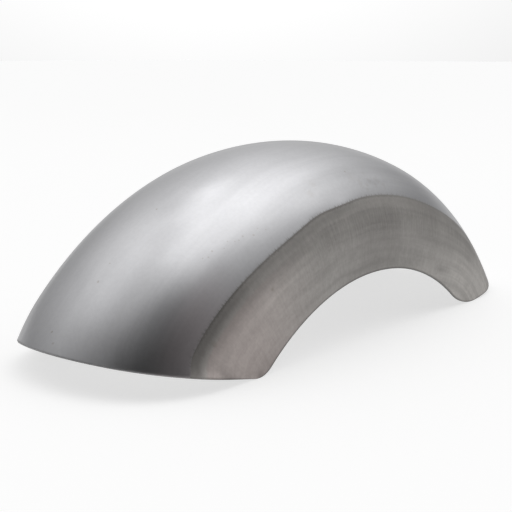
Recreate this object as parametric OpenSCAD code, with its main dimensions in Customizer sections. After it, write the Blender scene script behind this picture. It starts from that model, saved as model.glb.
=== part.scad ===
/* [Crown] */
// Outer radius of the fender over the middle of its crown, from the wheel axle
crown_r = 355.6; // [320:1:400]
// Overall width across the outer faces of the skirts
width = 216; // [200:2:240]
// Radius of the crown's arch from side to side
bow_r = 162; // [150:1:190]
// Radius of the shoulders, where the crown rolls over into the skirts
shoulder_r = 82; // [60:1:88]
// Overall height, from the level of the skirts' lowest points to the top of the crown
height = 177; // [160:1:190]
// Thickness of the steel sheet
sheet_t = 2; // [1.5:0.1:3]

/* [Skirts] */
// Depth of the sides, from the top of the crown down to the edge of the wheel arch
side_depth = 115; // [105:1:125]
// Distance of the wheel arch's centre behind the wheel axle
arch_back = 6; // [0:1:15]
// Height of the wheel arch's centre above the wheel axle
arch_rise = 3; // [-5:1:10]

/* [Ends] */
// Slope of the square front end, down towards the wheel, in degrees
front_rake = 12.5; // [5:0.5:20]
// Slope of the rounded rear end, down towards the wheel, in degrees
rear_rake = 6.5; // [0:0.5:12]
// Radius of the skirts' front corners
front_corner_r = 24; // [12:1:35]
// Radius of the skirts' rear corners
rear_corner_r = 71; // [50:1:85]

/* [Weld seam] */
// Angle of the seam round the shoulder, from the crown's middle line, in degrees
seam_angle = 60; // [40:1:75]
// Width of the hairline groove left where the seam was ground flush
seam_w = 1.6; // [1:0.1:3]
// Depth of the groove
seam_depth = 0.35; // [0.2:0.05:0.6]

/* [Hidden] */

$fn = 360;

// Section: the shoulder's arc lies inside the crown's arc and touches it where both have the same slope
bow_centre = crown_r - bow_r;
shoulder_side = width / 2 - shoulder_r;
blend_angle = asin(shoulder_side / (bow_r - shoulder_r));
shoulder_centre = bow_centre + (bow_r - shoulder_r) * cos(blend_angle);

// Side outline, about the wheel axle: the wheel arch and the level of the skirts' lowest points
arch_r = crown_r - side_depth - arch_rise;
skirt_rise = crown_r - height;

// Each corner circle stands on the lowest level and touches the wheel arch from outside
function corner_reach(r) = sqrt(pow(arch_r + r, 2) - pow(skirt_rise + r - arch_rise, 2));
front_corner = [arch_back - corner_reach(front_corner_r), skirt_rise + front_corner_r];
rear_corner = [arch_back + corner_reach(rear_corner_r), skirt_rise + rear_corner_r];
arch_centre = [arch_back, arch_rise];

// Where each end's straight cut leaves its corner circle, and where it leaves the crown
front_touch = front_corner + front_corner_r * [-sin(front_rake), -cos(front_rake)];
rear_touch = rear_corner + rear_corner_r * [sin(rear_rake), -cos(rear_rake)];
function cut_length(p, dir) = -p * dir + sqrt(pow(p * dir, 2) - p * p + crown_r * crown_r);
front_dir = [-cos(front_rake), sin(front_rake)];
rear_dir = [cos(rear_rake), sin(rear_rake)];
front_tip = front_touch + cut_length(front_touch, front_dir) * front_dir;
rear_tip = rear_touch + cut_length(rear_touch, rear_dir) * rear_dir;

// The part stands on its skirts, with its origin on that level, midway between its two tips
axle = [-(front_tip[0] + rear_tip[0]) / 2, -skirt_rise];

// How far the cutting shapes run past the sheet
overrun = 50;

// Half section through the fender, radius along x and width along y, everything under the skin:
// the crown's arc between its two blend points, a disc for each shoulder, and the block between the skirts
module under_skin(inset) {
    flank = width / 2 - inset;
    blend_side = (bow_r - inset) * sin(blend_angle);
    blend_reach = bow_centre + (bow_r - inset) * cos(blend_angle);
    intersection() {
        translate([bow_centre, 0]) circle(bow_r - inset);
        polygon([[bow_centre, 0], [blend_reach, -blend_side], [crown_r + overrun, -blend_side],
                 [crown_r + overrun, blend_side], [blend_reach, blend_side]]);
    }
    for (side = [-1, 1]) {
        translate([shoulder_centre, side * shoulder_side]) circle(shoulder_r - inset);
    }
    translate([0, -flank]) square([shoulder_centre, 2 * flank]);
}

// The hairline groove along the ground seam, as a disc that dips into the shoulder's surface
module seam_groove(side) {
    groove_r = (seam_w * seam_w / 4 + seam_depth * seam_depth) / (2 * seam_depth);
    stand_off = shoulder_r + groove_r - seam_depth;
    translate([shoulder_centre + stand_off * cos(seam_angle),
               side * (shoulder_side + stand_off * sin(seam_angle))])
        circle(groove_r, $fn = 48);
}

// Section of the sheet itself
module sheet_section() {
    difference() {
        under_skin(0);
        under_skin(sheet_t);
        seam_groove(-1);
        seam_groove(1);
    }
}

// The sheet section carried round the wheel axle, over the upper half of the wheel
module rolled_sheet() {
    rotate([90, 0, 0]) rotate_extrude(angle = 180) sheet_section();
}

// Outline seen from the side: both end cuts, the wheel arch and the rounded skirt corners
module side_outline() {
    difference() {
        polygon([front_tip + overrun * front_dir, front_touch, front_corner, arch_centre,
                 rear_corner, rear_touch, rear_tip + overrun * rear_dir,
                 [rear_tip[0] + overrun, crown_r + overrun],
                 [front_tip[0] - overrun, crown_r + overrun]]);
        translate(arch_centre) circle(arch_r);
    }
    translate(front_corner) circle(front_corner_r);
    translate(rear_corner) circle(rear_corner_r);
}

module fender_shell() {
    color([0.62, 0.62, 0.61])
        translate([axle[0], 0, axle[1]])
            intersection() {
                rolled_sheet();
                rotate([90, 0, 0]) linear_extrude(height = width + overrun, center = true) side_outline();
            }
}

fender_shell();
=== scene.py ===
import bpy
import math
import numpy as np
from mathutils import Matrix, Vector


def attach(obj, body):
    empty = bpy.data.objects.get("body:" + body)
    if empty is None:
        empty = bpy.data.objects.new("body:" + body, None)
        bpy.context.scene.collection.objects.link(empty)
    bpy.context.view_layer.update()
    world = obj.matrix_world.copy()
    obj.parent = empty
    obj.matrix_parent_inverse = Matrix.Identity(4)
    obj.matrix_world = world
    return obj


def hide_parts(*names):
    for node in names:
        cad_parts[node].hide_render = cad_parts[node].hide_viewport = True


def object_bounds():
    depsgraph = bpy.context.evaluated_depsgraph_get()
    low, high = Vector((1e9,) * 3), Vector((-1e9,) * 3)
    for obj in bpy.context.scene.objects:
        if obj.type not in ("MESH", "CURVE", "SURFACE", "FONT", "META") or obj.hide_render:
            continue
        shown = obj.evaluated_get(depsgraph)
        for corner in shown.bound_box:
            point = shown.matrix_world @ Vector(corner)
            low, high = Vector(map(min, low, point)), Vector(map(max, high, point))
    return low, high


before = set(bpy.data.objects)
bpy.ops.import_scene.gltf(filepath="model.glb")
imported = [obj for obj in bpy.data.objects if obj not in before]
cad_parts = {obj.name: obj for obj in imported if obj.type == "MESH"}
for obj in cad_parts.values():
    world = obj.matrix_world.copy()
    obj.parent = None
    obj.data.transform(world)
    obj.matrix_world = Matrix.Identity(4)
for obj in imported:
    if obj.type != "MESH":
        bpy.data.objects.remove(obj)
cadLow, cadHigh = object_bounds()
print("frame loaded")

# sizes of the pressed shell in metres, angles in degrees, and the steps of its grid
shell = {
    "crownR": 0.3556, "halfWidth": 0.108, "bowR": 0.162, "shoulderR": 0.082, "height": 0.177,
    "sideDepth": 0.115, "archBack": 0.006, "archRise": 0.003, "sheet": 0.002,
    "frontRake": 12.5, "rearRake": 6.5, "frontCornerR": 0.024, "rearCornerR": 0.071,
    "edgeBreak": 0.00035, "alongSteps": 330, "crownSteps": 78, "shoulderSteps": 12, "skirtSteps": 9,
}

# how much closer the grid's rows stand towards each end, and over what share of the length
packing = {"samples": 4001, "frontExtra": 2.2, "frontReach": 0.05, "rearExtra": 1.6, "rearReach": 0.1}

# the far side of the front lip is drawn in a little: how deep, over what length, where round the section
tuck = {"depth": 0.0019, "reach": 0.040, "place": 38.0, "spread": 24.0}

# hand-cut sway of the rear end, from straight: how far past the cut, at which section angle, its spread
sway = [(0.0012, 70.0, 10.0), (-0.0012, 50.0, 9.0)]

# hairline left where the crown and skirts were welded and ground flush: its angle round the section, its
# groove, and the grid's steps across it in half widths. Each drift is a place along the fender and its
# spread in degrees, and how far the hand-ground line strays there; the rough sweep places the drifts.
seam = {
    "angle": 60.0, "grooveWidth": 0.0016, "grooveDepth": 0.00002,
    "grooveSteps": [-1.6, -1.0, -0.5, 0.0, 0.5, 1.0, 1.6],
    "drifts": [(-45, 9, -0.0019), (-23, 11, 0.0028), (-15, 4, -0.0010), (-7, 4, 0.0012),
               (50, 18, -0.020), (-53, 2.2, 0.006)],
    "sweepFrom": -53.0, "sweep": 108.0,
}

# camera fitted to the photograph: angles in degrees, lengths in metres, focal length in pixels of 512
view = {
    "azimuth": -49.829, "elevation": 11.014, "distance": 0.99783, "focal": 1041.16, "frame": 512,
    "targetX": -0.03967, "targetZ": 0.24845, "sensor": 36.0, "near": 0.05, "far": 200.0,
}


# Centres and touching points of the arcs in the section and in the side outline, trimmed inwards by trim.
# Each corner circle stands on the skirts' lowest level and touches the wheel arch from outside.
def solveShell(f, trim):
    s = dict(f)
    s["bowC"] = f["crownR"] - f["bowR"]
    s["side"] = f["halfWidth"] - f["shoulderR"]
    s["blend"] = math.asin(s["side"] / (f["bowR"] - f["shoulderR"]))
    s["shoulderC"] = s["bowC"] + (f["bowR"] - f["shoulderR"]) * math.cos(s["blend"])
    archR = f["crownR"] - f["sideDepth"] - f["archRise"]
    rise = f["crownR"] - f["height"]
    s["archC"] = np.array([f["archBack"], f["archRise"]])
    for end, sign in (("front", -1), ("rear", 1)):
        r = f[end + "CornerR"]
        rake = math.radians(f[end + "Rake"])
        reach = math.sqrt((archR + r) ** 2 - (rise + r - f["archRise"]) ** 2)
        centre = np.array([f["archBack"] + sign * reach, rise + r])
        s[end + "Corner"] = centre
        s[end + "R"] = r - trim
        s[end + "Touch"] = centre + (r - trim) * np.array([sign * math.sin(rake), -math.cos(rake)])
        s[end + "Dir"] = np.array([sign * math.cos(rake), math.sin(rake)])
    s["archR"] = archR + trim
    return s


# Where the straight end cut crosses the circle of radius r about the axle: x and z as arrays.
def cutPoint(s, end, r):
    p = s[end + "Touch"]
    d = s[end + "Dir"]
    b = p @ d
    run = -b + np.sqrt(b * b - p @ p + r * r)
    return p[0] + run * d[0], p[1] + run * d[1]


# Radius of the skirt's lower edge along each ray from the axle: corner circles at the ends, arch between.
def lowerEdge(s, angle):
    e = np.stack([np.sin(angle), np.cos(angle)], -1)

    def cross(centre, radius, sign):
        b = e @ centre
        return b + sign * np.sqrt(np.maximum(b * b - centre @ centre + radius * radius, 0))

    out = cross(s["archC"], s["archR"], 1)
    for end in ("front", "rear"):
        c = s[end + "Corner"]
        meet = s["archC"] + (c - s["archC"]) * s["archR"] / np.linalg.norm(c - s["archC"])
        past = angle < math.atan2(*meet) if end == "front" else angle > math.atan2(*meet)
        out = np.where(past, cross(c, s[end + "R"], -1), out)
    return out


# Sideways wander of the hand-ground seam along the fender: a sum of bell curves, towards the skirt.
def seamLine(t):
    degrees = np.degrees(t)
    return sum(stray * np.exp(-((degrees - place) / spread) ** 2) for place, spread, stray in seam["drifts"])


# the axle lies level with the middle between both tips, and the skirts' lowest points at height 0
bare = solveShell(shell, 0)
tips = [cutPoint(bare, end, shell["crownR"])[0] for end in ("front", "rear")]
axle = np.array([-sum(tips) / 2, 0.0, shell["height"] - shell["crownR"]])


# Shares of the way along the fender, 0 to 1, set closer together towards both ends.
def alongShares(n):
    x = np.linspace(0, 1, packing["samples"])
    density = (1 + packing["frontExtra"] * np.exp(-x / packing["frontReach"])
               + packing["rearExtra"] * np.exp(-(1 - x) / packing["rearReach"]))
    total = np.concatenate([[0], np.cumsum((density[1:] + density[:-1]) / 2)])
    return np.interp(np.linspace(0, total[-1], n + 1), total, x)


# Stations from one skirt's lower edge to the other: zone, side and share within the zone.
# Zone 0 is the crown between the seams, 3 the seam's groove, 1 the shoulder below it, 2 the flat skirt.
def acrossStations():
    zones = {
        3: np.array(seam["grooveSteps"]) * seam["grooveWidth"] / 2,
        1: np.linspace(0, 1, shell["shoulderSteps"] + 1)[1:],
        2: np.linspace(0, 1, shell["skirtSteps"] + 1)[1:],
    }
    crown = [(0, 0, v) for v in np.linspace(-1, 1, shell["crownSteps"] + 1)[1:-1]]
    left, right = [[(zone, side, v) for zone, steps in zones.items() for v in steps] for side in (-1, 1)]
    return np.array(left[::-1] + crown + right)


# Flat skirt as a patch between four lines: the shoulder's end, the lower edge and the two end cuts.
# With u the share along and w the share down, it is (1 - w) upper + w lower + (1 - u) front + u rear, less
# the corners mixed by both shares.
def flatSkirt(s, shares, w):
    top = s["shoulderC"]
    frontTop = np.array(cutPoint(s, "front", top), dtype=float)
    rearTop = np.array(cutPoint(s, "rear", top), dtype=float)
    sweepFrom = math.atan2(*frontTop)
    sweep = sweepFrom + shares * (math.atan2(*rearTop) - sweepFrom)
    upper = top * np.stack([np.sin(sweep), np.cos(sweep)], -1)
    sweepFrom = math.atan2(*s["frontTouch"])
    sweep = sweepFrom + shares * (math.atan2(*s["rearTouch"]) - sweepFrom)
    lower = lowerEdge(s, sweep)[:, None] * np.stack([np.sin(sweep), np.cos(sweep)], -1)
    w = w[None, :, None]
    u = shares[:, None, None]
    frontSide = frontTop + w * (s["frontTouch"] - frontTop)
    rearSide = rearTop + w * (s["rearTouch"] - rearTop)
    corners = ((1 - u) * (1 - w) * frontTop + u * (1 - w) * rearTop
               + (1 - u) * w * s["frontTouch"] + u * w * s["rearTouch"])
    return (1 - w) * upper[:, None] + w * lower[:, None] + (1 - u) * frontSide + u * rearSide - corners


# Points of the sheet's surface, inset below its outer skin, as a grid along by across.
# A point at section angle a and sweep angle t is (r sin t, y, r cos t), with r and y on the crown's arc up
# to the blend angle and on the shoulder's arc past it, and t running between both end cuts.
def sheetGrid(inset, trim, stations, shares):
    s = solveShell(shell, trim)
    zone, side, v = stations.T
    u = shares[:, None]
    roughSweep = math.radians(seam["sweepFrom"]) + u * math.radians(seam["sweep"])
    seamAt = math.radians(seam["angle"]) + seamLine(roughSweep) / s["shoulderR"]
    span = seam["grooveSteps"][-1] * seam["grooveWidth"] / 2 / s["shoulderR"]
    angle = np.where(zone == 0, v * (seamAt - span), 0)
    angle = np.where(zone == 3, side * (seamAt + v / s["shoulderR"]), angle)
    angle = np.where(zone == 1, side * (seamAt + span + v * (math.pi / 2 - seamAt - span)), angle)
    angle = np.where(zone == 2, side * math.pi / 2, angle)

    a = np.abs(angle)
    onBow = a < s["blend"]
    bow = s["bowR"] - inset
    shoulder = s["shoulderR"] - inset
    r = np.where(onBow, s["bowC"] + bow * np.cos(a), s["shoulderC"] + shoulder * np.cos(a))
    y = np.where(onBow, bow * np.sin(a), s["side"] + shoulder * np.sin(a)) * np.sign(angle)

    # between the end cuts, with the rear one's sway and the front lip's tuck
    tFront = np.arctan2(*cutPoint(s, "front", r))
    tRear = np.arctan2(*cutPoint(s, "rear", r))
    stray = sum(far * np.exp(-((np.degrees(a) - place) / spread) ** 2) for far, place, spread in sway)
    tRear = tRear + np.where(zone == 2, 0, stray) / r
    t = tFront + u * (tRear - tFront)
    near = np.clip(1 - (t - tFront) * r / tuck["reach"], 0, 1) ** 2
    drawn = tuck["depth"] * near * np.exp(-((np.degrees(angle) - tuck["place"]) / tuck["spread"]) ** 2)
    r = r - drawn * np.cos(angle)
    y = y - drawn * np.sin(angle)
    x = r * np.sin(t)
    z = r * np.cos(t)

    patch = flatSkirt(s, shares, np.where(zone == 2, v, 0))
    flat = np.broadcast_to(zone == 2, x.shape)
    x = np.where(flat, patch[..., 0], x)
    z = np.where(flat, patch[..., 1], z)
    return np.stack([x, y, z], -1), angle, seamAt


# Quads of a rows by cols grid of vertices that starts at index start.
def gridFaces(rows, cols, start, flip):
    i = start + np.arange(rows * cols).reshape(rows, cols)
    quad = np.stack([i[:-1, :-1], i[1:, :-1], i[1:, 1:], i[:-1, 1:]], -1).reshape(-1, 4)
    return quad[:, ::-1] if flip else quad


# Indices of a rows by cols grid's border, once round.
def rimLoop(rows, cols):
    i = np.arange(rows * cols).reshape(rows, cols)
    return np.concatenate([i[:, 0], i[-1, 1:], i[-2::-1, -1], i[0, -2:0:-1]])


# Distance of each grid point from the nearest cut edge, along the grid's own lines.
def edgeDistance(grid):
    lengthwise = np.linalg.norm(np.diff(grid, axis=0), axis=2)
    crosswise = np.linalg.norm(np.diff(grid, axis=1), axis=2)
    fromFront = np.concatenate([np.zeros((1, grid.shape[1])), np.cumsum(lengthwise, 0)])
    fromLeft = np.concatenate([np.zeros((grid.shape[0], 1)), np.cumsum(crosswise, 1)], 1)
    return np.minimum.reduce([fromFront, fromFront[-1:] - fromFront, fromLeft, fromLeft[:, -1:] - fromLeft])


# Distances in metres that the finish follows: past either seam, past the near side's seam, unrolled along
# the fender from its top, unrolled across it from its middle, and from the nearest cut edge.
def finishFields(outer, angle, sweep, fromSeam, seamAt, zone):
    f = solveShell(shell, 0)
    a = np.abs(angle)
    down = np.where(zone == 2, f["shoulderC"] - np.hypot(outer[..., 0], outer[..., 2]), 0)
    past = f["bowR"] * f["blend"] + f["shoulderR"] * (a - f["blend"])
    across = np.where(a < f["blend"], f["bowR"] * a, past)
    return {
        "pastSeam": fromSeam + down,
        "fromNearSeam": -(angle + seamAt) * shell["shoulderR"] - np.sign(angle) * down,
        "alongSheet": sweep * shell["crownR"],
        "acrossSheet": np.sign(angle) * (across + down),
        "fromRim": edgeDistance(outer),
    }


# Outer skin, inner skin and a broken edge round the sheet, as one closed mesh.
def buildShell():
    stations = acrossStations()
    shares = alongShares(shell["alongSteps"])
    e = shell["edgeBreak"]
    outer, angle, seamAt = sheetGrid(0, e, stations, shares)
    inner = sheetGrid(shell["sheet"], e, stations, shares)[0]
    lipOut = sheetGrid(e, 0, stations, shares)[0]
    lipIn = sheetGrid(shell["sheet"] - e, 0, stations, shares)[0]
    rows, cols = outer.shape[:2]

    # the seam's groove: a round-bottomed dip along the wandering line
    fromSeam = (np.abs(angle) - seamAt) * shell["shoulderR"]
    dip = seam["grooveDepth"] * np.clip(1 - (fromSeam / (seam["grooveWidth"] / 2)) ** 2, 0, 1)
    sweep = np.arctan2(outer[..., 0], outer[..., 2])
    normal = np.stack([np.cos(angle) * np.sin(sweep), np.sin(angle), np.cos(angle) * np.cos(sweep)], -1)
    outer = outer - dip[..., None] * normal

    loop = rimLoop(rows, cols)
    n = rows * cols
    points = np.concatenate([g.reshape(-1, 3) for g in (outer, inner)]
                            + [g.reshape(-1, 3)[loop] for g in (lipOut, lipIn)]) + axle
    points[:, 2] = cadLow[2] + points[:, 2] * (cadHigh[2] - cadLow[2]) / shell["height"]
    rings = [loop, 2 * n + np.arange(len(loop)), 2 * n + len(loop) + np.arange(len(loop)), n + loop]
    strips = []
    for a, b in zip(rings[:-1], rings[1:]):
        strips.append(np.stack([a, b, np.roll(b, -1), np.roll(a, -1)], -1))
    faces = [gridFaces(rows, cols, 0, False), gridFaces(rows, cols, n, True)] + strips
    counts = [len(f) for f in faces]
    faces = np.concatenate(faces)

    mesh = bpy.data.meshes.new("fenderSkin")
    mesh.from_pydata(points.tolist(), [], faces.tolist())
    mesh.polygons.foreach_set("use_smooth", np.ones(len(faces), dtype=bool))
    for name, grid in finishFields(outer, angle, sweep, fromSeam, seamAt, stations[:, 0]).items():
        flat = grid.reshape(-1)
        whole = np.concatenate([flat, flat, flat[loop], flat[loop]])
        layer = mesh.attributes.new(name, "FLOAT", "POINT")
        layer.data.foreach_set("value", whole.astype(np.float32))

    # satin crown between the seams, ground shoulders and skirts outside, plain inside, then the cut edge
    quadSeam = (fromSeam[:-1, :-1] + fromSeam[1:, 1:]) / 2
    slotOuter = np.where(quadSeam.reshape(-1) < 0, 0, 1)
    slots = np.concatenate([slotOuter, np.full(counts[1], 2)] + [np.full(c, 3) for c in counts[2:]])
    mesh.polygons.foreach_set("material_index", slots.astype(np.int32))
    mesh.update()
    piece = bpy.data.objects.new("rear_fender_skin", mesh)
    bpy.context.collection.objects.link(piece)
    return piece


# Adds a node, sets its options and fills or links its inputs.
def node(tree, kind, inputs=None, **settings):
    n = tree.nodes.new(kind)
    for key, value in settings.items():
        setattr(n, key, value)
    for key, value in (inputs or {}).items():
        if isinstance(value, bpy.types.NodeSocket):
            tree.links.new(value, n.inputs[key])
        else:
            n.inputs[key].default_value = value
    return n


# One math node, as its output socket.
def maths(tree, operation, a, b=0.0, clamp=False):
    return node(tree, "ShaderNodeMath", {0: a, 1: b}, operation=operation, use_clamp=clamp).outputs[0]


# Carries a value from one range to another, clamped and eased, as an output socket.
def remap(tree, value, low, high, toLow=0.0, toHigh=1.0):
    inputs = {"Value": value, "From Min": low, "From Max": high, "To Min": toLow, "To Max": toHigh}
    return node(tree, "ShaderNodeMapRange", inputs, interpolation_type="SMOOTHSTEP").outputs["Result"]


# places of the mix node's sockets when it mixes colours
mixSockets = {"factor": 0, "first": 6, "second": 7, "result": 2}


# Mix of two colours, by a factor, as an output socket.
def mixColour(tree, factor, a, b, blend="MIX"):
    inputs = {mixSockets["factor"]: factor, mixSockets["first"]: a, mixSockets["second"]: b}
    n = node(tree, "ShaderNodeMix", inputs, data_type="RGBA", blend_type=blend)
    return n.outputs[mixSockets["result"]]


# A shader group with named sockets: inputs and outputs are lists of (name, kind, value).
def startGroup(name, inputs, outputs):
    g = bpy.data.node_groups.new(name, "ShaderNodeTree")
    kinds = {"number": "NodeSocketFloat", "vector": "NodeSocketVector"}
    for label, kind, value in inputs:
        socket = g.interface.new_socket(label, in_out="INPUT", socket_type=kinds[kind])
        if value is not None:
            socket.default_value = value
    for label in outputs:
        g.interface.new_socket(label, in_out="OUTPUT", socket_type=kinds["number"])
    return g, g.nodes.new("NodeGroupInput").outputs, g.nodes.new("NodeGroupOutput").inputs


noiseMiddle = 0.5


# Noise about noiseMiddle, as an output socket.
def noise(tree, place, scale, detail=3.0, roughness=0.6, distortion=0.0):
    n = node(tree, "ShaderNodeTexNoise", {"Vector": place, "Scale": scale, "Detail": detail,
                                          "Roughness": roughness, "Distortion": distortion})
    return n.outputs[0]


# layers of grain in the steel: scale per metre, detail, and for the clouds roughness and distortion too
grainLayers = {
    "Grain": (1100.0, 2.0), "Blot": (420.0, 2.0), "Mottle": (300.0, 3.0), "Cloud": (16.0, 3.0, 0.55, 0.3),
    "Wave": (11.0, 1.0),
}


# Fine mill grain, small blots, a light mottle, slow cloudy changes, and the low waves of rolled sheet.
def steelGrain():
    g, i, o = startGroup("steelGrain", [("Place", "vector", None)], list(grainLayers))
    for name, layer in grainLayers.items():
        g.links.new(noise(g, i["Place"], *layer), o[name])
    return g


# lines and strokes per metre, down the sheet and along it; the grinder's disc leaves the broad strokes
strokes = {
    "lineDraw": 5.0, "lineDetail": 3.0, "lineRough": 0.55,
    "tickPitch": 420.0, "tickDraw": 38.0, "broadPitch": 95.0, "broadDraw": 30.0, "broadLayer": 3.7,
    "detail": 4.0, "rough": 0.65,
}


# Lines drawn out along the fender, as a forming roll and a sanding belt leave them.
def drawnLines():
    g, i, o = startGroup("drawnLines", [("Along", "number", 0.0), ("Down", "number", 0.0),
                                        ("Pitch", "number", 200.0)], ["Lines"])
    place = node(g, "ShaderNodeCombineXYZ", {"X": maths(g, "MULTIPLY", i["Along"], strokes["lineDraw"]),
                                             "Y": maths(g, "MULTIPLY", i["Down"], i["Pitch"])})
    g.links.new(noise(g, place.outputs[0], 1.0, strokes["lineDetail"], strokes["lineRough"]), o["Lines"])
    return g


# Short strokes of a grinder, up and down the sheet: fine ticks, and broad ones as wide as its disc.
def grindTicks():
    inputs = [("Along", "number", 0.0), ("Down", "number", 0.0)]
    g, i, o = startGroup("grindTicks", inputs, ["Ticks", "Broad"])
    for name, pitch, draw, layer in (("Ticks", strokes["tickPitch"], strokes["tickDraw"], 0.0),
                                     ("Broad", strokes["broadPitch"], strokes["broadDraw"],
                                      strokes["broadLayer"])):
        place = node(g, "ShaderNodeCombineXYZ", {"X": maths(g, "MULTIPLY", i["Along"], pitch), "Z": layer,
                                                 "Y": maths(g, "MULTIPLY", i["Down"], draw)})
        g.links.new(noise(g, place.outputs[0], 1.0, strokes["detail"], strokes["rough"]), o[name])
    return g


# marks of the seam, in metres past it: raggedness, the line's place and spread, the ground strip's width and
# soft borders, its foot's place and spread, how far the grinder bites into the crown and at which noise
weld = {
    "ragged": 0.006, "linePlace": 0.0007, "lineSpread": 0.0022, "stripWidth": 0.0125, "stripSoft": 0.0012,
    "topSoft": 0.0005, "footPlace": 0.0135, "footSpread": (0.0004, 0.0030), "biteReach": (-0.0035, -0.0002),
    "biteNoise": (0.47, 0.60),
}


# The seam where it shows: a ragged dark line, the ground strip below it, the strip's faint lower edge, and
# the grinder's bites into the crown.
def weldSeam():
    g, i, o = startGroup("weldSeam", [("Past", "number", 0.0), ("Ticks", "number", noiseMiddle)],
                         ["Line", "Strip", "Foot", "Bite"])
    ragged = maths(g, "MULTIPLY", maths(g, "SUBTRACT", i["Ticks"], noiseMiddle), weld["ragged"])
    off = maths(g, "ADD", i["Past"], ragged)
    line = maths(g, "ABSOLUTE", maths(g, "SUBTRACT", off, weld["linePlace"]))
    g.links.new(remap(g, line, 0.0, weld["lineSpread"], 1.0, 0.0), o["Line"])
    width = weld["stripWidth"]
    inside = remap(g, off, width - weld["stripSoft"], width + weld["stripSoft"], 1.0, 0.0)
    g.links.new(maths(g, "MULTIPLY", inside, remap(g, off, -weld["topSoft"], weld["topSoft"])), o["Strip"])
    foot = maths(g, "ABSOLUTE", maths(g, "SUBTRACT", off, weld["footPlace"]))
    g.links.new(remap(g, foot, *weld["footSpread"], 1.0, 0.0), o["Foot"])
    stroke = remap(g, i["Ticks"], *weld["biteNoise"])
    bite = maths(g, "MULTIPLY", remap(g, i["Past"], *weld["biteReach"]), stroke)
    g.links.new(maths(g, "MULTIPLY", bite, maths(g, "LESS_THAN", i["Past"], 0.0)), o["Bite"])
    return g


# how uneven a small mark's rim is, in radii, and between which radii the mark fades
markRim = {"uneven": 2.4, "fade": (0.35, 1.1)}


# One small stain or pit at a place on the sheet, with an uneven rim, as a mask.
def smallMark():
    g, i, o = startGroup("smallMark", [("Along", "number", 0.0), ("Across", "number", 0.0),
                                       ("Uneven", "number", noiseMiddle), ("Mark Along", "number", 0.0),
                                       ("Mark Across", "number", 0.0), ("Radius", "number", 0.002),
                                       ("Amount", "number", 0.5)], ["Mask"])
    x = maths(g, "SUBTRACT", i["Along"], i["Mark Along"])
    y = maths(g, "SUBTRACT", i["Across"], i["Mark Across"])
    far = maths(g, "SQRT", maths(g, "ADD", maths(g, "MULTIPLY", x, x), maths(g, "MULTIPLY", y, y)))
    uneven = maths(g, "MULTIPLY", maths(g, "SUBTRACT", i["Uneven"], noiseMiddle), markRim["uneven"])
    ratio = maths(g, "ADD", maths(g, "DIVIDE", far, i["Radius"]), uneven)
    g.links.new(maths(g, "MULTIPLY", remap(g, ratio, *markRim["fade"], 1.0, 0.0), i["Amount"]), o["Mask"])
    return g


# One patch of painted light as a gain: 1 plus an amount times a bell curve of both distances from its place,
# a painted highlight where the amount is above 0 and painted shade where it is below.
def paintedLightPatch():
    g, i, o = startGroup("paintedLightPatch", [("Along", "number", 0.0), ("Past", "number", 0.0),
                                      ("Mark Along", "number", 0.0), ("Mark Past", "number", 0.0),
                                      ("Length", "number", 0.05), ("Width", "number", 0.02),
                                      ("Amount", "number", 0.1)], ["Gain"])
    squares = []
    for place, mark, spread in (("Along", "Mark Along", "Length"), ("Past", "Mark Past", "Width")):
        ratio = maths(g, "DIVIDE", maths(g, "SUBTRACT", i[place], i[mark]), i[spread])
        squares.append(maths(g, "MULTIPLY", ratio, ratio))
    bell = maths(g, "EXPONENT", maths(g, "MULTIPLY", maths(g, "ADD", *squares), -1.0))
    g.links.new(maths(g, "ADD", maths(g, "MULTIPLY", bell, i["Amount"]), 1.0), o["Gain"])
    return g


# the dark line beside the cut edge in metres: how ragged it is, and from where to where it fades
edgeDarkLine = {"ragged": 0.0016, "fade": (0.0003, 0.0021)}


# A ragged dark line beside the cut edge of the sheet, darkest next to the cut.
def cutEdge():
    inputs = [("Distance", "number", 0.0), ("Ragged", "number", noiseMiddle)]
    g, i, o = startGroup("cutEdge", inputs, ["Dark"])
    ragged = maths(g, "MULTIPLY", maths(g, "SUBTRACT", i["Ragged"], noiseMiddle), edgeDarkLine["ragged"])
    g.links.new(remap(g, maths(g, "ADD", i["Distance"], ragged), *edgeDarkLine["fade"], 1.0, 0.0), o["Dark"])
    return g
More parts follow.
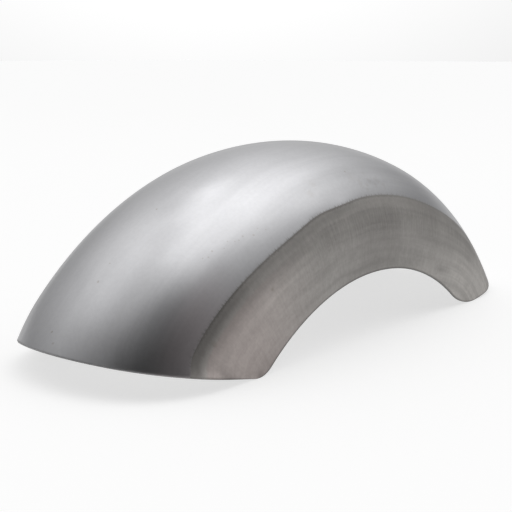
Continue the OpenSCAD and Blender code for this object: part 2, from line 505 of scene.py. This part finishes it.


# each finish: colours, roughness, how strongly each kind of mark shows, and how far bumps stand (relative);
# tone switches on the painted shade of the skirts and sets how dark it is in their middle
finishes = {
    "satin": {
        "base": (0.60, 0.60, 0.615, 1), "deep": (0.50, 0.50, 0.515, 1), "roughness": 0.295,
        "roughSpread": 0.04, "cloud": 0.3, "lines": 0.36, "linePitch": 130.0, "ticks": 0.0, "broad": 0.0,
        # rimShade is how much painted shade darkens the sheet where it turns edge-on
        "tone": 0.0, "edgeTint": 0.85, "rimShade": 0.45, "mottle": 0.022,
        "bump": {"grain": 0.02, "wave": 0.5, "lines": 0.06, "ticks": 0.0},
    },
    "ground": {
        "base": (0.55, 0.53, 0.508, 1), "deep": (0.38, 0.364, 0.348, 1), "roughness": 0.44,
        "roughSpread": 0.08, "cloud": 0.35, "lines": 0.3, "linePitch": 150.0, "ticks": 0.13, "broad": 0.10,
        "tone": 0.2, "edgeTint": 0.55, "rimShade": 0.0, "mottle": 0.045,
        "bump": {"grain": 0.03, "wave": 0.6, "lines": 0.08, "ticks": 0.06},
    },
    "inside": {
        "base": (0.46, 0.455, 0.45, 1), "deep": (0.33, 0.325, 0.32, 1), "roughness": 0.42,
        "roughSpread": 0.12, "cloud": 0.7, "lines": 0.4, "linePitch": 90.0, "ticks": 0.0, "broad": 0.0,
        "tone": 0.0, "edgeTint": 0.6, "rimShade": 0.0, "mottle": 0.04,
        "bump": {"grain": 0.08, "wave": 0.7, "lines": 0.15, "ticks": 0.0},
    },
    "edge": {
        "base": (0.34, 0.335, 0.33, 1), "deep": (0.2, 0.195, 0.19, 1), "roughness": 0.45,
        "roughSpread": 0.12, "cloud": 0.6, "lines": 0.0, "linePitch": 150.0, "ticks": 0.0, "broad": 0.0,
        "tone": 0.0, "edgeTint": 0.6, "rimShade": 0.0, "mottle": 0.04,
        "bump": {"grain": 0.2, "wave": 0.0, "lines": 0.0, "ticks": 0.0},
    },
}

# a faint row of pits on the crown: first and last place, how many, radius and strength; then how far each
# strays along and across and how much its size swings, with the turns that vary them from pit to pit
pits = {
    "first": (-0.214, -0.075), "last": (-0.150, -0.095), "count": 11, "radius": 0.0009, "amount": 0.3,
    "swings": (0.0025, 0.0022, 0.35), "turns": (5.1, 3.7, 7.3),
}


# Places of the pits: steps from first to last, each moved and sized by sines of its number times the turns.
def pitRow():
    row = []
    for index in range(pits["count"]):
        share = index / (pits["count"] - 1)
        along, across = [a + share * (b - a) for a, b in zip(pits["first"], pits["last"])]
        stray = [swing * math.sin(turn * index) for swing, turn in zip(pits["swings"], pits["turns"])]
        row.append((along + stray[0], across + stray[1], pits["radius"] * (1 + stray[2]), pits["amount"]))
    return row


# small marks that the photograph shows: metres along the fender and across it, radius, and how strong
marks = {
    "satin": [
        (-0.183, -0.004, 0.0011, 0.75), (-0.161, 0.059, 0.0021, 0.8), (-0.269, -0.006, 0.0013, 0.4),
        (-0.250, -0.005, 0.0010, 0.4), (-0.320, 0.012, 0.0013, 0.5), (-0.329, 0.004, 0.0015, 0.4),
        (0.004, -0.099, 0.006, 0.10), (0.014, -0.101, 0.003, 0.13), (0.036, -0.096, 0.005, 0.11),
        (0.030, -0.101, 0.003, 0.15), (0.022, -0.097, 0.004, 0.10), (0.044, -0.102, 0.004, 0.10),
        (0.010, -0.106, 0.003, 0.10), (-0.004, -0.090, 0.009, 0.05), (0.020, -0.088, 0.004, 0.07),
        (-0.074, -0.0925, 0.005, 0.11), (-0.062, -0.086, 0.004, 0.08), (-0.164, 0.061, 0.0060, 0.08),
        (-0.168, 0.052, 0.0030, 0.10), (-0.006, -0.083, 0.0013, 0.5),
    ] + pitRow(),
    "ground": [(-0.186, -0.137, 0.0022, 0.45), (-0.274, -0.123, 0.003, 0.25)],
}

# painted highlights and painted shade, lighter where the amount is above 0 and darker below: metres along
# the fender and past the near seam, both spreads, and how much
paintedLightPatches = {
    "satin": [
        (-0.220, -0.046, 0.026, 0.016, 0.20), (-0.270, -0.035, 0.022, 0.010, -0.14),
        (-0.037, -0.031, 0.090, 0.010, -0.12), (-0.080, -0.004, 0.085, 0.012, 0.17),
        (-0.130, -0.074, 0.030, 0.012, 0.08), (0.222, -0.034, 0.035, 0.020, -0.30),
        (-0.286, -0.074, 0.020, 0.012, 0.10), (0.050, -0.006, 0.050, 0.020, 0.12),
        (-0.318, -0.004, 0.010, 0.010, -0.20), (-0.310, -0.128, 0.070, 0.009, -0.40),
        (-0.050, -0.041, 0.045, 0.004, 0.045), (-0.045, -0.029, 0.050, 0.005, -0.035),
        (-0.143, -0.070, 0.025, 0.004, 0.05), (-0.143, -0.079, 0.022, 0.003, -0.05),
        (-0.236, -0.067, 0.018, 0.004, -0.04), (-0.199, -0.063, 0.018, 0.004, 0.03),
        (-0.180, -0.080, 0.016, 0.006, -0.10), (-0.206, -0.070, 0.018, 0.006, -0.09),
        (-0.146, -0.075, 0.014, 0.005, 0.10), (-0.175, -0.065, 0.018, 0.005, 0.06),
        (-0.108, -0.071, 0.014, 0.006, -0.05), (-0.255, -0.060, 0.020, 0.005, -0.08),
        (-0.260, -0.031, 0.025, 0.005, -0.10), (-0.322, -0.056, 0.018, 0.005, -0.11),
        (0.024, -0.014, 0.010, 0.004, -0.11), (0.010, -0.020, 0.006, 0.003, -0.06),
        (-0.070, -0.073, 0.050, 0.014, 0.055), (-0.285, -0.104, 0.050, 0.007, 0.10),
        (-0.036, -0.026, 0.020, 0.006, 0.06), (-0.172, -0.016, 0.012, 0.006, -0.05),
        (-0.042, -0.0035, 0.018, 0.004, 0.13), (-0.196, -0.038, 0.018, 0.006, 0.06),
        (-0.168, -0.089, 0.014, 0.005, -0.05), (-0.296, -0.069, 0.016, 0.008, 0.05),
        (0.040, -0.013, 0.012, 0.004, -0.05), (-0.088, -0.0015, 0.010, 0.002, -0.14),
    ],
    "ground": [
        (0.300, 0.024, 0.035, 0.022, 0.28), (0.050, 0.010, 0.060, 0.008, 0.12),
        (0.180, 0.067, 0.060, 0.006, 0.16), (-0.020, 0.062, 0.060, 0.008, -0.14),
        (-0.080, 0.005, 0.060, 0.0045, -0.17), (-0.085, 0.0128, 0.055, 0.0026, 0.08),
        (-0.310, 0.020, 0.012, 0.012, 0.22), (0.180, 0.0645, 0.022, 0.0045, -0.26),
        (0.120, 0.058, 0.030, 0.004, -0.08), (-0.280, 0.028, 0.022, 0.005, -0.13),
        (-0.262, 0.070, 0.008, 0.006, -0.34), (-0.291, 0.035, 0.005, 0.014, -0.24),
        (-0.043, 0.0035, 0.022, 0.003, -0.16), (-0.172, 0.003, 0.016, 0.004, -0.10),
        (-0.302, 0.010, 0.006, 0.004, 0.14), (0.236, 0.026, 0.022, 0.005, 0.10),
        (-0.205, 0.0205, 0.025, 0.003, 0.06), (-0.191, 0.031, 0.020, 0.003, 0.06),
    ],
}

# black, the colour that painted shade is mixed towards
black = (0, 0, 0, 1)

# colours of the marks, and where the painted shade, the warm tint and the seam's and grinder's marks come
# and go. Names that end in
# Along or Past are ranges in metres along the fender or past the seam; toneAway is in degrees each way from
# toneCentre.
shading = {
    "stain": (0.30, 0.25, 0.20, 1), "seamDark": (0.10, 0.095, 0.09, 1), "rimDark": (0.17, 0.165, 0.16, 1),
    "heat": (1.0, 0.93, 0.93, 1),
    "noiseBand": (0.3, 0.7), "tickBand": (0.38, 0.62), "brushBand": (0.35, 0.65),
    "toneCentre": 4.0, "toneAway": (6.0, 32.0), "tonePast": (0.008, 0.030),
    "flatPast": (0.020, 0.040), "flatPaintedShade": (0.21, 0.04), "rearAlong": (0.18, 0.25), "rearLines": 0.25,
    "stripPast": (0.005, 0.0155), "stripAlong": (-0.25, -0.155), "stripPaintedShade": 0.36,
    "stripEndAlong": (-0.312, -0.300), "stripEndShare": 0.3,
    "chatter": 0.29, "chatterTopPast": (0.010, 0.014), "chatterFootPast": (0.024, 0.038),
    "chatterAlong": (-0.16, -0.06),
    "heatPast": (-0.040, -0.012), "heatAlong": {"satin": (-0.28, -0.19), "ground": (-0.27, -0.09)},
    "heatOffStrip": 0.8,
    "biteDark": 0.5, "lineDark": (0.42, 0.12), "lineAlong": (-0.10, 0.19),
    "lineFrontAlong": (-0.300, -0.275), "lineFrontShare": 0.3,
    "footDark": 0.09, "footAlong": (-0.19, -0.13), "footRearAlong": (0.12, 0.17),
    "rimMix": 0.36, "edgeOn": (0.87, 0.985), "rimRough": 0.2, "bumpStrength": 0.35, "bumpDistance": 0.0006,
}


# Bare steel: colour, roughness and bump from the shared grain, line, tick, seam, mark and edge groups, with
# painted highlights and painted shade from the light patch group.
def steelMaterial(name, f, groups):
    m = bpy.data.materials.new(name + "Steel")
    m.use_nodes = True
    t = m.node_tree
    t.nodes.clear()
    place = node(t, "ShaderNodeTexCoord").outputs["Object"]
    seamed = name in ("satin", "ground")

    def field(attribute):
        return node(t, "ShaderNodeAttribute", attribute_name=attribute).outputs["Fac"]

    def use(group, inputs):
        return node(t, "ShaderNodeGroup", inputs, node_tree=groups[group]).outputs

    def times(a, b):
        return maths(t, "MULTIPLY", a, b)

    def plus(a, b):
        return maths(t, "ADD", a, b)

    def band(value, key, toLow=0.0, toHigh=1.0):
        return remap(t, value, *shading[key], toLow, toHigh)

    past = field("pastSeam")
    along = field("alongSheet")
    across = field("acrossSheet")
    around = field("fromNearSeam")
    rim = field("fromRim")
    grain = use("grain", {"Place": place})
    lines = use("lines", {"Along": along, "Down": past, "Pitch": f["linePitch"]})["Lines"]
    ticks = use("ticks", {"Along": along, "Down": past})
    seamMarks = use("seam", {"Past": past, "Ticks": ticks["Ticks"]})
    rimDark = use("edge", {"Distance": rim, "Ragged": ticks["Ticks"]})["Dark"]

    # colour: cloudy, with drawn lines and grinder strokes
    deep = times(band(grain["Cloud"], "noiseBand"), f["cloud"])
    deep = plus(deep, times(band(lines, "noiseBand"), f["lines"]))
    if f["ticks"]:
        chatter = times(band(past, "chatterTopPast"), band(past, "chatterFootPast", 1.0, 0.0))
        chatter = times(chatter, band(along, "chatterAlong", 0.0, shading["chatter"]))
        deep = plus(deep, times(band(ticks["Ticks"], "tickBand"), plus(chatter, f["ticks"])))
        rear = band(along, "rearAlong", 0.0, shading["rearLines"])
        deep = plus(deep, times(band(lines, "brushBand"), rear))
        deep = plus(deep, times(band(ticks["Broad"], "brushBand"), f["broad"]))
    colour = mixColour(t, maths(t, "MINIMUM", deep, 1.0), f["base"], f["deep"])

    # painted shade, darker places: the skirts' middle, their flat part, and the ground strip's front half
    if f["tone"]:
        centre = math.radians(shading["toneCentre"]) * shell["crownR"]
        away = maths(t, "ABSOLUTE", maths(t, "SUBTRACT", along, centre))
        reach = [math.radians(degrees) * shell["crownR"] for degrees in shading["toneAway"]]
        middle = times(remap(t, away, *reach, f["tone"], 0.0), band(past, "tonePast"))
        flat = times(band(past, "flatPast"), band(along, "rearAlong", *shading["flatPaintedShade"]))
        front = band(along, "stripAlong", shading["stripPaintedShade"], 0.0)
        front = times(band(past, "stripPast", 1.0, 0.0), front)
        front = times(front, band(along, "stripEndAlong", shading["stripEndShare"], 1.0))
        for shade in (middle, flat, front):
            colour = mixColour(t, shade, colour, black)

    # warmer towards the front, but not on the ground strip
    if seamed:
        warmth = times(band(past, "heatPast"), remap(t, along, *shading["heatAlong"][name], 1.0, 0.0))
        offStrip = maths(t, "SUBTRACT", 1.0, times(seamMarks["Strip"], shading["heatOffStrip"]))
        colour = mixColour(t, times(warmth, offStrip), colour, shading["heat"], "MULTIPLY")

    # mottle of the steel, and the painted highlights and painted shade of the light patches, as one gain
    gain = band(grain["Mottle"], "noiseBand", 1 - f["mottle"], 1 + f["mottle"])
    for spot in paintedLightPatches.get(name, []):
        inputs = dict(zip(("Mark Along", "Mark Past", "Length", "Width", "Amount"), spot))
        gain = times(gain, use("tone", {"Along": along, "Past": around, **inputs})["Gain"])
    colour = node(t, "ShaderNodeVectorMath", {0: colour, "Scale": gain}, operation="SCALE").outputs[0]

    # small marks
    for spot in marks.get(name, []):
        inputs = dict(zip(("Mark Along", "Mark Across", "Radius", "Amount"), spot))
        mask = use("mark", {"Along": along, "Across": across, "Uneven": grain["Blot"], **inputs})["Mask"]
        colour = mixColour(t, mask, colour, shading["stain"])

    # the grinder's bites into the crown, the seam's line, the strip's foot, and the cut edges
    ragged = 0.0
    if seamed:
        bitten = finishes["ground"]["deep"]
        colour = mixColour(t, times(seamMarks["Bite"], shading["biteDark"]), colour, bitten)
        shows = times(band(along, "lineAlong", *shading["lineDark"]),
                      band(along, "lineFrontAlong", shading["lineFrontShare"], 1.0))
        ragged = times(seamMarks["Line"], shows)
        colour = mixColour(t, ragged, colour, shading["seamDark"])
        shows = times(band(along, "footAlong", 0.0, shading["footDark"]),
                      band(along, "footRearAlong", 1.0, 0.0))
        colour = mixColour(t, times(seamMarks["Foot"], shows), colour, shading["seamDark"])
    colour = mixColour(t, times(rimDark, shading["rimMix"]), colour, shading["rimDark"])

    # painted shade: darker where the sheet turns edge-on
    if f["rimShade"]:
        facing = node(t, "ShaderNodeLayerWeight").outputs["Facing"]
        colour = mixColour(t, band(facing, "edgeOn", 0.0, f["rimShade"]), colour, black)

    # rougher where the clouds are deeper, along the seam and at the cut edges
    rough = times(maths(t, "SUBTRACT", grain["Cloud"], noiseMiddle), f["roughSpread"])
    rough = plus(rough, f["roughness"])
    worn = times(maths(t, "MAXIMUM", ragged, rimDark), shading["rimRough"])
    rough = maths(t, "ADD", rough, worn, clamp=True)

    bumps = f["bump"]
    height = times(grain["Grain"], bumps["grain"])
    for socket, kind in ((grain["Wave"], "wave"), (lines, "lines"), (ticks["Ticks"], "ticks")):
        if bumps[kind]:
            height = plus(height, times(socket, bumps[kind]))
    bump = node(t, "ShaderNodeBump", {"Height": height, "Strength": shading["bumpStrength"],
                                      "Distance": shading["bumpDistance"]})
    tint = (f["edgeTint"], f["edgeTint"], f["edgeTint"], 1)
    shader = node(t, "ShaderNodeBsdfPrincipled", {"Base Color": colour, "Metallic": 1.0, "Roughness": rough,
                                                  "Specular Tint": tint, "Normal": bump.outputs["Normal"]})
    node(t, "ShaderNodeOutputMaterial", {"Surface": shader.outputs[0]})
    return m


groups = {"grain": steelGrain(), "lines": drawnLines(), "ticks": grindTicks(), "seam": weldSeam(),
          "mark": smallMark(), "tone": paintedLightPatch(), "edge": cutEdge()}
fender = buildShell()
for key, finish in finishes.items():
    fender.data.materials.append(steelMaterial(key, finish, groups))
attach(fender, "root")
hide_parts("fender_shell")
print("fender made, faces", len(fender.data.polygons))


white = (1, 1, 1, 1)

# studio: a pale floor, a soft box overhead, and a room lit by soft patches. Each patch or dim place is
# azimuth, elevation, sharpness and amount. The horizon and foot bands fade between two heights of the ray.
studio = {
    "floorSize": 60.0, "floorTone": 0.45, "floorGlow": 0.66,
    "lobes": [(196.0, 49.5, 6.75, 1.0), (133.0, 16.8, 5.7, 0.61), (47.0, 73.4, 4.2, 2.66)],
    "dims": [(-47.0, 33.0, 1.48, 0.99)],
    "horizonTone": 0.3, "horizonFade": (0.04, 0.24), "footTone": 0.183, "footFade": (0.056, 0.11),
    "boxSize": 3.2, "boxPlace": (0.25, 0.1, 2.6), "boxPower": 4.0,
}


# Unit vector towards an azimuth and elevation in degrees; azimuth 0 is towards -Y and 90 towards +X.
def direction(azimuth, elevation):
    a = math.radians(azimuth)
    e = math.radians(elevation)
    return Vector((math.sin(a) * math.cos(e), -math.cos(a) * math.cos(e), math.sin(e)))


# A soft patch of light on the sky: amount times exp(sharpness (cos of the angle from its centre - 1)).
def softPatch():
    g, i, o = startGroup("softPatch", [("Ray", "vector", None), ("Centre", "vector", None),
                                       ("Sharpness", "number", 3.0), ("Amount", "number", 1.0)], ["Light"])
    ray = node(g, "ShaderNodeVectorMath", {0: i["Ray"]}, operation="NORMALIZE")
    dot = node(g, "ShaderNodeVectorMath", {0: ray.outputs[0], 1: i["Centre"]}, operation="DOT_PRODUCT")
    fall = maths(g, "MULTIPLY", maths(g, "SUBTRACT", dot.outputs["Value"], 1.0), i["Sharpness"])
    g.links.new(maths(g, "MULTIPLY", maths(g, "EXPONENT", fall), i["Amount"]), o["Light"])
    return g


# World light: the sum of the patches, times 1 less each dim place, plus the bands near the horizon.
def buildRoom():
    world = bpy.data.worlds.new("softRoom")
    bpy.context.scene.world = world
    world.use_nodes = True
    t = world.node_tree
    t.nodes.clear()
    ray = node(t, "ShaderNodeTexCoord").outputs["Generated"]
    patch = softPatch()

    def light(azimuth, elevation, sharpness, amount):
        inputs = {"Ray": ray, "Centre": direction(azimuth, elevation), "Sharpness": sharpness,
                  "Amount": amount}
        return node(t, "ShaderNodeGroup", inputs, node_tree=patch).outputs["Light"]

    total = 0.0
    for lobe in studio["lobes"]:
        total = maths(t, "ADD", light(*lobe), total)
    for dim in studio["dims"]:
        total = maths(t, "MULTIPLY", total, maths(t, "SUBTRACT", 1.0, light(*dim)))
    rise = node(t, "ShaderNodeSeparateXYZ", {0: ray}).outputs["Z"]
    for name in ("horizon", "foot"):
        glow = remap(t, rise, *studio[name + "Fade"], studio[name + "Tone"], 0.0)
        total = maths(t, "ADD", total, glow)
    back = node(t, "ShaderNodeBackground", {"Color": white, "Strength": total})
    node(t, "ShaderNodeOutputWorld", {"Surface": back.outputs[0]})


# Plain pale floor. It glows a little for camera and reflected rays, so it reads white and keeps its shadow.
def buildFloor():
    half = studio["floorSize"] / 2
    corners = [(-half, -half, 0), (half, -half, 0), (half, half, 0), (-half, half, 0)]
    mesh = bpy.data.meshes.new("paleFloor")
    mesh.from_pydata(corners, [], [(0, 1, 2, 3)])
    floor = bpy.data.objects.new("paleFloor", mesh)
    bpy.context.collection.objects.link(floor)
    m = bpy.data.materials.new("paleFloor")
    m.use_nodes = True
    t = m.node_tree
    t.nodes.clear()
    path = node(t, "ShaderNodeLightPath").outputs
    reflected = maths(t, "MAXIMUM", path["Is Glossy Ray"], path["Is Transmission Ray"])
    seen = maths(t, "MAXIMUM", path["Is Camera Ray"], reflected)
    tone = studio["floorTone"]
    matt = node(t, "ShaderNodeBsdfDiffuse", {"Color": (tone, tone, tone, 1)})
    strength = maths(t, "MULTIPLY", seen, studio["floorGlow"])
    glow = node(t, "ShaderNodeEmission", {"Color": white, "Strength": strength})
    both = node(t, "ShaderNodeAddShader", {0: matt.outputs[0], 1: glow.outputs[0]})
    node(t, "ShaderNodeOutputMaterial", {"Surface": both.outputs[0]})
    mesh.materials.append(m)


# Large soft box overhead.
def buildSoftBox():
    lamp = bpy.data.lights.new("softBox", "AREA")
    lamp.shape = "SQUARE"
    lamp.size = studio["boxSize"]
    lamp.energy = studio["boxPower"]
    box = bpy.data.objects.new("softBox", lamp)
    box.location = studio["boxPlace"]
    bpy.context.collection.objects.link(box)


# Camera on a sphere about its target, level, at the fitted angles.
def buildCamera():
    data = bpy.data.cameras.new("photoView")
    data.sensor_width = view["sensor"]
    data.lens = view["focal"] / view["frame"] * view["sensor"]
    data.clip_start = view["near"]
    data.clip_end = view["far"]
    cam = bpy.data.objects.new("photoView", data)
    back = direction(view["azimuth"], view["elevation"])
    target = Vector(axle.tolist()) + Vector((view["targetX"], 0, view["targetZ"]))
    turn = (-back).to_track_quat("-Z", "Y")
    cam.matrix_world = Matrix.Translation(target + back * view["distance"]) @ turn.to_matrix().to_4x4()
    bpy.context.collection.objects.link(cam)
    bpy.context.scene.camera = cam


buildRoom()
buildFloor()
buildSoftBox()
buildCamera()
bpy.context.scene.view_settings.view_transform = "Standard"
print("studio made")
